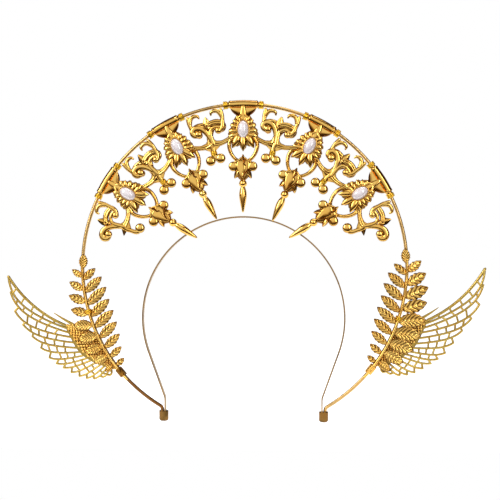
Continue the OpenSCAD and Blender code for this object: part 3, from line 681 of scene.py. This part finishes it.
def leaf(shape, base, aim, length, width, place, back, veins, curl):
    """A stamped leaf: toothed edge, raised midrib and slanting veins."""
    back = shape.layer(back)
    a = math.radians(aim)
    run, side = np.array([math.cos(a), math.sin(a)]), np.array([-math.sin(a), math.cos(a)])
    n, m = 7 * veins + 4, 17
    across = np.linspace(-1, 1, m)
    points, lift = [], []
    for t in np.linspace(0, 1, n):
        half = width / 2 * math.sin(math.pi * t ** 0.95) ** 0.75 if 0 < t < 1 else 0
        tooth = 1 + 0.07 * math.cos(2 * math.pi * (veins * (t - SLANT) + 0.5)) * min(1, 5 * t, 5 * (1 - t))
        half = max(half * tooth, 0.4 * (1 - t) ** 0.3 if t < 0.5 else 0.08)
        middle = np.array(base) + run * length * t
        wave = 0.5 + 0.5 * np.cos(2 * math.pi * (veins * (t - SLANT * np.abs(across)) + 0.5))
        fade = min(1, 8 * t, 6 * (1 - t)) * (1 - np.abs(across) ** 8)
        rib = np.exp(-(across / 0.11) ** 2)
        high = 0.25 + 0.25 * np.sqrt(np.maximum(1 - across ** 2, 0)) + 0.4 * wave * fade + 0.4 * rib * (1 - 0.5 * t)
        flat = middle + np.outer(across * half, side)
        bend = curl * (t * t - 0.25 * t)
        points.append(np.stack([flat[:, 0], back - high - bend, flat[:, 1]], 1))
        points.append(np.stack([flat[[-1, 0], 0], np.full(2, back - bend), flat[[-1, 0], 1]], 1))
        # Painted shade in the grooves between the veins, painted highlight on the veins and midrib
        lift.extend(np.clip(0.02 + 0.95 * wave * fade + 0.4 * rib, 0, 1))
        lift.extend([BEHIND, BEHIND])
    shape.add(place(np.concatenate(points)), skin(n, m + 2), lift)


def sprig(place, inner, outer):
    s = Shape()
    leaf(s, polar(HOOP_R - 0.6, 90.8), 88, 10, 5.8, place, -1.3, 6, 0.5)
    for i in range(9):
        turn = 94.8 + i * (4.65 - 0.065 * i)
        broad = i >= 4
        aim = 179 + 10.5 * (i - 4) if broad else 143 + 7.5 * i
        length = OUTER_LEN[i] * outer
        leaf(s, polar(HOOP_R, turn - 1), aim, length, (0.56 if broad else 0.5) * length,
             place, -1.2 - 0.1 * max(0, i - 4), 7 if broad else 5, -0.3 if broad else 0.4)
        leaf(s, polar(HOOP_R, turn), 43, INNER_LEN[i] * inner, (1.9 + 0.27 * INNER_LEN[i]) * inner, place,
             -1.3, max(3, round(INNER_LEN[i] / 2.5)), 0.6)
    t = np.linspace(0, 1, 60)
    ang = STEM_TOP + t * (STEM_FOOT - STEM_TOP)
    flat = polar(HOOP_R, ang)
    y = np.full(60, -2.0) - 0.1 * np.sin(t * 40)
    tube(s, np.stack([flat[:, 0], y, flat[:, 1]], 1), STEM_R, place, sides=12, lift=0.7)
    return s


# Wings, drawn on the left
TIP_LINE = [[-156, 26.6], [-151.6, 3.8], [-139.9, -12.8], [-128.5, -26.8], [-119.1, -33.3], [-108.5, -38.8],
            [-98.8, -40.4], [-88.2, -38]]
ROOT_LINE = [[-117.7, -5.4], [-114.4, -12], [-107.9, -21.8], [-99.4, -28], [-87.7, -32.9]]
FEATHERS = 15
WING_FRONT, WING_BACK = 1.2, 2.1
RIB_HALF, LEAD_HALF, CROSS_HALF = 0.725, 0.94, 0.65
LEAD_SAG, EDGE_SAG, SAG_FALL, LEAST_SAG = 3.9, 5.2, 4.5, 0.6
TIP_HUMP, HUMP_FALL, LEAST_HUMP, HUMP_SCALE = 2.4, 4, 0.5, 256 / 27
TOOTH, TOOTH_GROWTH, CROSS_SLANT, VANE_CELLS = 0.2, 0.14, 0.12, 1.1


def root_at(s):
    return along(ROOT_LINE, 1 - (1 - s) ** 1.5)


def tip_at(s):
    return along(TIP_LINE, s)


# Edge 0 is the wing's leading edge, and edge k + 1 the lower edge of feather k, out to the feather's point
def tip_share(k):
    return max(0, k - 1) / (FEATHERS - 1)


def edge_at(k, t):
    s = tip_share(k)
    a, c = root_at(k / FEATHERS), tip_at(s)
    d = (c - a) / np.linalg.norm(c - a)
    n = np.array([-d[1], d[0]])
    sag = LEAST_SAG + EDGE_SAG * (1 - s) ** SAG_FALL if k else LEAD_SAG
    hump = HUMP_SCALE * (LEAST_HUMP + TIP_HUMP * (1 - s) ** HUMP_FALL) if k else 0
    b = (a + c) / 2 + 2 * sag * n
    return (1 - t) ** 2 * a + 2 * t * (1 - t) * b + t * t * c + hump * t ** 3 * (1 - t) * n


def notch(k):
    return 1 - TOOTH - TOOTH_GROWTH * tip_share(k) if k else 1


def cells(k):
    return 6 if k < 2 else 5 if k < 4 else 4 if k < 7 else 3 if k < 11 else 2


def cross_at(k, j):
    return notch(k) * (j + (k % 2) / 2) / (cells(k) - 1 + VANE_CELLS)


def cross_rib(k, t):
    return edge_at(k, t), edge_at(k + 1, t + (CROSS_SLANT if k else 0))


def even(points, half):
    p = np.array(points, float)
    return np.concatenate([p, np.full((len(p), 1), half)], 1)


def wing(place):
    s = Shape()
    rib = dict(back=WING_BACK, wall=0.4, rise=0.85, ends=False)
    for k in range(FEATHERS + 1):
        edge = [edge_at(k, t) for t in np.linspace(0, 1, 22)]
        crowned(s, rounded(even(edge, RIB_HALF if k else LEAD_HALF), start=False), place, **rib)
    for k in range(FEATHERS):
        if k:
            a, c = edge_at(k, notch(k)), edge_at(k + 1, 1)
            crowned(s, even([a, (a + c) / 2, c], RIB_HALF), place, **rib)
        for j in range(1, cells(k)):
            p, q = cross_rib(k, cross_at(k, j))
            crowned(s, even([p, (p + q) / 2, q], CROSS_HALF), place, **rib)
            ball(s, (*p[:1], WING_BACK - 0.75, p[1]), 0.76, place, around=8, up=5)
    crescent = np.array([[*p, w] for p, w in zip(ROOT_LINE, (0.5, 0.7, 1.3, 1.4, 0.8))])
    crowned(s, smooth(crescent, 8), place, back=WING_BACK, wall=0.8, rise=0.12)
    bar(s, [[-125.5, 2.8, 0.25], [-119.5, -1, 0.7], [-113, -4.6, 1]], place, WING_BACK, wall=0.5, rise=0.8)
    tongue = even([polar(HOOP_R, a) for a in np.linspace(125, STEM_FOOT, 12)], STEM_R)
    crowned(s, tongue, place, back=WING_BACK, wall=0.7, rise=0.2)
    return s


def covert(place):
    """The solid part of a wing, with rows of granules on it."""
    s = Shape()
    inner = [polar(HOOP_R - STEM_R, a) for a in (130.2, 126.5, 122.7, 119, 115.5)]
    outer = smooth(ROOT_LINE, 4)
    # The plate, in painted shade, darkens the gaps between the granules
    plate(s, [*outer.tolist(), *[list(p) for p in inner], [-108.5, -5]], place, WING_FRONT, WING_BACK, lift=0.2)
    cols = 20
    for c in range(cols):
        t = c / (cols - 1)
        a = along(ROOT_LINE, t)
        b = along([[-108.5, -5]] + [list(p) for p in inner[::-1]], t)
        n = max(1, int(np.linalg.norm(b - a) / 1.9))
        for r in range(n):
            p = a + (b - a) * (r + 0.75 + 0.5 * (c % 2)) / (n + 1)
            dome(s, p, 1.0, place, WING_FRONT + 0.3, wall=0.3, high=0.85, around=12, up=5)
    return s


# Each side's place, its direction, how far up the hoop it is bound, its leaf sizes and where its stem is bound
SIDES = (("left", straight, -1, 0, (1.1, 0.92), 106.2),
         ("right", leaning(mirrored, 2, HOOP_Z), 1, 2, (1.06, 1.25), 110.4))
for name, place, k, up, sizes, stem_turn in SIDES:
    piece(f"sprig_relief_{name}", sprig(place, *sizes), LEAF, f"leaf_sprig_{name}", sharp=50)
    piece(f"wing_relief_{name}", wing(place), WING, f"wing_{name}", sharp=45)
    piece(f"covert_relief_{name}", covert(place), LEAF, f"wing_{name}", sharp=45)
    s = wound(shifted(along_hoop(k * (stem_turn - up)), -0.875), 2.15, 2.8, 3.4, 0.31)
    piece(f"stem_binding_{name}", s, BRIGHT, f"stem_wrap_{name}", sharp=80)
    s = wound(shifted(along_hoop(k * (ROOT_TURN - up)), -0.4), 2.17, 3.27, 6.6, 0.36)
    piece(f"root_binding_{name}", s, DARK if k < 0 else LEAF, f"root_wrap_{name}", sharp=80)


# Ferrules
def ferrule(side):
    s = Shape()
    low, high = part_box(f"ferrule_{side}")
    x, z0, z1 = (low.x + high.x) * 500, low.z * 1000, high.z * 1000
    profile = [(0.6, z0), (1.8, z0 + 0.05), (2.5, z0 + 0.3), (2.95, z0 + 0.8), (3.08, z0 + 1.4), (3.1, z0 + 2.2),
               (3.06, z0 + 3.6), (3.1, z1 - 1.0), (3.12, z1 - 0.5), (3.0, z1 - 0.12), (2.7, z1), (1.2, z1 - 0.15)]
    lathe(s, profile, straight, (x, 0), around=44)
    return s


for name in ("left", "right"):
    piece(f"ferrule_shell_{name}", ferrule(name), FERRULE, f"ferrule_{name}")

for name, material in (("headband", BAND), ("hoop_wire", WIRE)):
    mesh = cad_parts[name].data
    mesh.materials.clear()
    mesh.materials.append(material)


# Stage, light and camera
def shader_nodes(tree):
    tree.nodes.clear()
    return tree.nodes, tree.links


def seen(nodes, links):
    """1 for what the camera, a reflection or a clear body sees, 0 for light."""
    path = nodes.new("ShaderNodeLightPath")
    total = path.outputs["Is Camera Ray"]
    for name in ("Is Glossy Ray", "Is Transmission Ray"):
        add = nodes.new("ShaderNodeMath")
        add.operation = "MAXIMUM"
        links.new(total, add.inputs[0])
        links.new(path.outputs[name], add.inputs[1])
        total = add.outputs[0]
    return path, total


world = bpy.data.worlds.new("studio")
bpy.context.scene.world = world
world.use_nodes = True
nodes, links = shader_nodes(world.node_tree)
path, total = seen(nodes, links)
coords = nodes.new("ShaderNodeTexCoord")
split = nodes.new("ShaderNodeSeparateXYZ")
links.new(coords.outputs["Generated"], split.inputs[0])


def ramp(value, stops):
    """Grey levels along a value that runs from -1 to 1."""
    r = nodes.new("ShaderNodeValToRGB")
    links.new(ranged(nodes, links, value, -1, 1, 0, 1), r.inputs[0])
    while len(r.color_ramp.elements) < len(stops):
        r.color_ramp.elements.new(0.5)
    for e, (x, grey) in zip(r.color_ramp.elements, stops):
        e.position = (x + 1) / 2
        e.color = (grey, grey, grey, 1)
    return r.outputs[0]


# In front of the object the studio is dark between soft boxes, with dark flags beside it and a white backdrop behind
across = ramp(split.outputs["X"], [(-1, 0.3), (-0.8, 0.5), (-0.6, 1), (-0.1, 1), (0.2, 0.95), (0.28, 0.3),
                                   (0.36, 0.3), (0.44, 0.8), (0.62, 0.1), (1, 0.15)])
height = ramp(split.outputs["Z"], [(-1, 0.05), (-0.45, 0.05), (-0.2, 0.35), (-0.05, 0.95), (0.5, 1), (1, 0.8)])
flags = ramp(split.outputs["Y"], [(-1, 1), (-0.75, 1), (-0.4, 0.3), (1, 0.08)])


def times(a, b, factor):
    m = nodes.new("ShaderNodeMix")
    m.data_type = "RGBA"
    m.blend_type = "MULTIPLY"
    m.inputs["Factor"].default_value = factor
    links.new(a, m.inputs[6])
    links.new(b, m.inputs[7])
    return m.outputs[2]


def warmed(value):
    """Grey levels that turn brown where they are dark."""
    r = nodes.new("ShaderNodeValToRGB")
    links.new(value, r.inputs[0])
    stops = [(0, (0.02, 0.008, 0.002)), (0.3, (0.3, 0.2, 0.11)), (0.65, (0.65, 0.58, 0.48)), (1, (1, 1, 1))]
    while len(r.color_ramp.elements) < len(stops):
        r.color_ramp.elements.new(0.5)
    for e, (x, c) in zip(r.color_ramp.elements, stops):
        e.position = x
        e.color = (*c, 1)
    return r.outputs[0]


room = warmed(times(times(height, across, 0.75), flags, 1.0))
low = ranged(nodes, links, split.outputs["Z"], 0.3, 0.5, 1, 0)
behind = nodes.new("ShaderNodeMath")
behind.operation = "MULTIPLY"
links.new(ranged(nodes, links, split.outputs["Y"], 0.4, 0.65, 0, 1), behind.inputs[0])
links.new(low, behind.inputs[1])
studio = mixed(nodes, links, behind.outputs[0], room, (0.95, 0.95, 0.95))
view = mixed(nodes, links, path.outputs["Is Camera Ray"], studio, (1.0, 1.0, 1.0))
soft = nodes.new("ShaderNodeBackground")
soft.inputs["Color"].default_value = (1, 1, 1, 1)
soft.inputs["Strength"].default_value = 0.5
shown = nodes.new("ShaderNodeBackground")
links.new(view, shown.inputs["Color"])
shown.inputs["Strength"].default_value = 1.0
join = nodes.new("ShaderNodeMixShader")
links.new(total, join.inputs[0])
links.new(soft.outputs[0], join.inputs[1])
links.new(shown.outputs[0], join.inputs[2])
links.new(join.outputs[0], nodes.new("ShaderNodeOutputWorld").inputs[0])

floor_mesh = bpy.data.meshes.new("floor")
z = cad_low.z - 0.001
floor_mesh.from_pydata([(-3, -0.1, z), (3, -0.1, z), (3, 3, z), (-3, 3, z)], [], [(0, 1, 2, 3)])
floor = bpy.data.objects.new("floor", floor_mesh)
bpy.context.scene.collection.objects.link(floor)
paper = bpy.data.materials.new("white_paper")
paper.use_nodes = True
nodes, links = shader_nodes(paper.node_tree)
path, total = seen(nodes, links)
matte = nodes.new("ShaderNodeBsdfDiffuse")
matte.inputs["Color"].default_value = (0.86, 0.86, 0.86, 1)
glow = nodes.new("ShaderNodeEmission")
glow.inputs["Color"].default_value = (1, 1, 1, 1)
links.new(ranged(nodes, links, total, 0, 1, 0, 0.66), glow.inputs["Strength"])
join = nodes.new("ShaderNodeAddShader")
links.new(matte.outputs[0], join.inputs[0])
links.new(glow.outputs[0], join.inputs[1])
links.new(join.outputs[0], nodes.new("ShaderNodeOutputMaterial").inputs[0])
floor_mesh.materials.append(paper)
floor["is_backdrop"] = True


def lamp(name, place, aim, size, power):
    data = bpy.data.lights.new(name, "AREA")
    data.shape = "RECTANGLE"
    data.size, data.size_y = size
    data.energy = power
    o = bpy.data.objects.new(name, data)
    o.location = place
    o.rotation_euler = (aim - o.location).to_track_quat("-Z", "Y").to_euler()
    bpy.context.scene.collection.objects.link(o)


centre = (cad_low + cad_high) / 2
lamp("key", (-0.85, -0.7, 0.6), centre, (0.35, 0.8), 8)
lamp("fill", (0.6, -0.85, 0.4), centre, (0.2, 0.8), 3.5)
lamp("top", (0.1, 0.1, 1.1), centre, (0.9, 0.4), 5)

# Millimetres in a pixel of the photo, half its width in pixels, and where the frame's origin lies in it
SCALE, HALF, ORIGIN = 0.652, 250, (243.4, 318)
DISTANCE, YAW = 750.0, math.radians(3.5)
aim = np.array([(HALF - ORIGIN[0]) * SCALE, 0, (ORIGIN[1] - HALF) * SCALE])
eye = aim + DISTANCE * np.array([math.sin(YAW), -math.cos(YAW), 0])
data = bpy.data.cameras.new("camera")
data.sensor_fit = "HORIZONTAL"
data.sensor_width = 36
data.lens = data.sensor_width * DISTANCE / (2 * HALF * SCALE)
data.clip_start = 0.01
camera = bpy.data.objects.new("camera", data)
camera.location = eye * 0.001
camera.rotation_euler = (math.pi / 2, 0, YAW)
bpy.context.scene.collection.objects.link(camera)
bpy.context.scene.camera = camera
bpy.context.scene.view_settings.view_transform = "Standard"

low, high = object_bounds()
